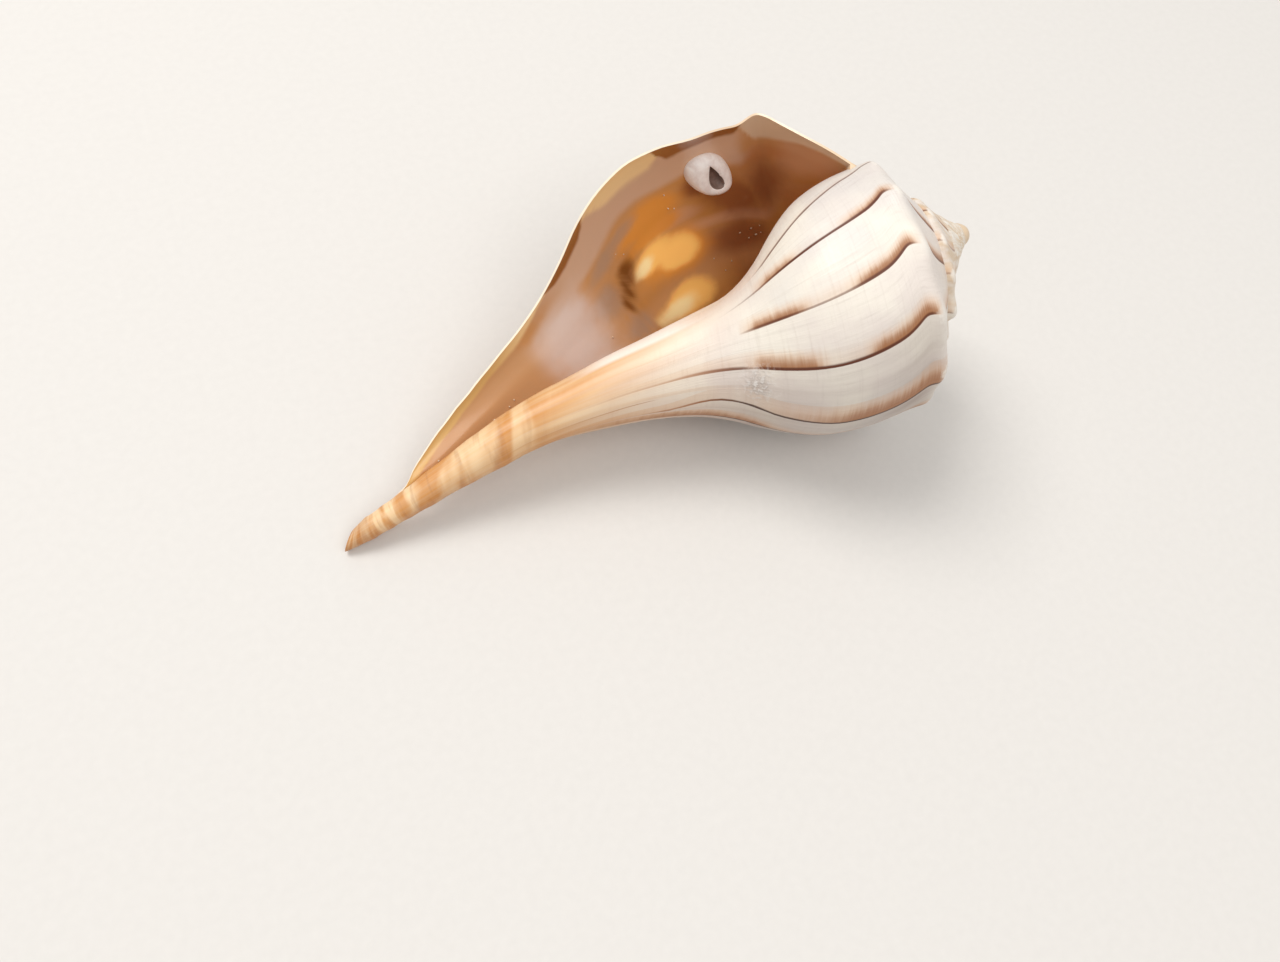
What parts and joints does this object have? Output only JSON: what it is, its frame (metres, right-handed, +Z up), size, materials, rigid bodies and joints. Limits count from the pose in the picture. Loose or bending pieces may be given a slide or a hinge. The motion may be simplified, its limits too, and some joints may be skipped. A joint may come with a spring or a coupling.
{
  "type": "lightning whelk shell",
  "caption": "Empty left-handed whelk shell lying on its back, opening up, with a low spire, a long tapering canal and a small barnacle inside the lip.",
  "frame": {"origin": "middle of the box the shell fills, on the ground it lies on", "axes": "+X towards the spire along the ground, +Z up out of the opening, +Y towards the outer lip"},
  "size_m": [0.1056, 0.0496, 0.0446],
  "materials": {
    "shell": "cream and brown shell, dull outside and glossy inside",
    "barnacle": "matt chalky white"
  },
  "bodies": {
    "root": {"shell": "shell", "barnacle": "barnacle"}
  },
  "joints": []
}
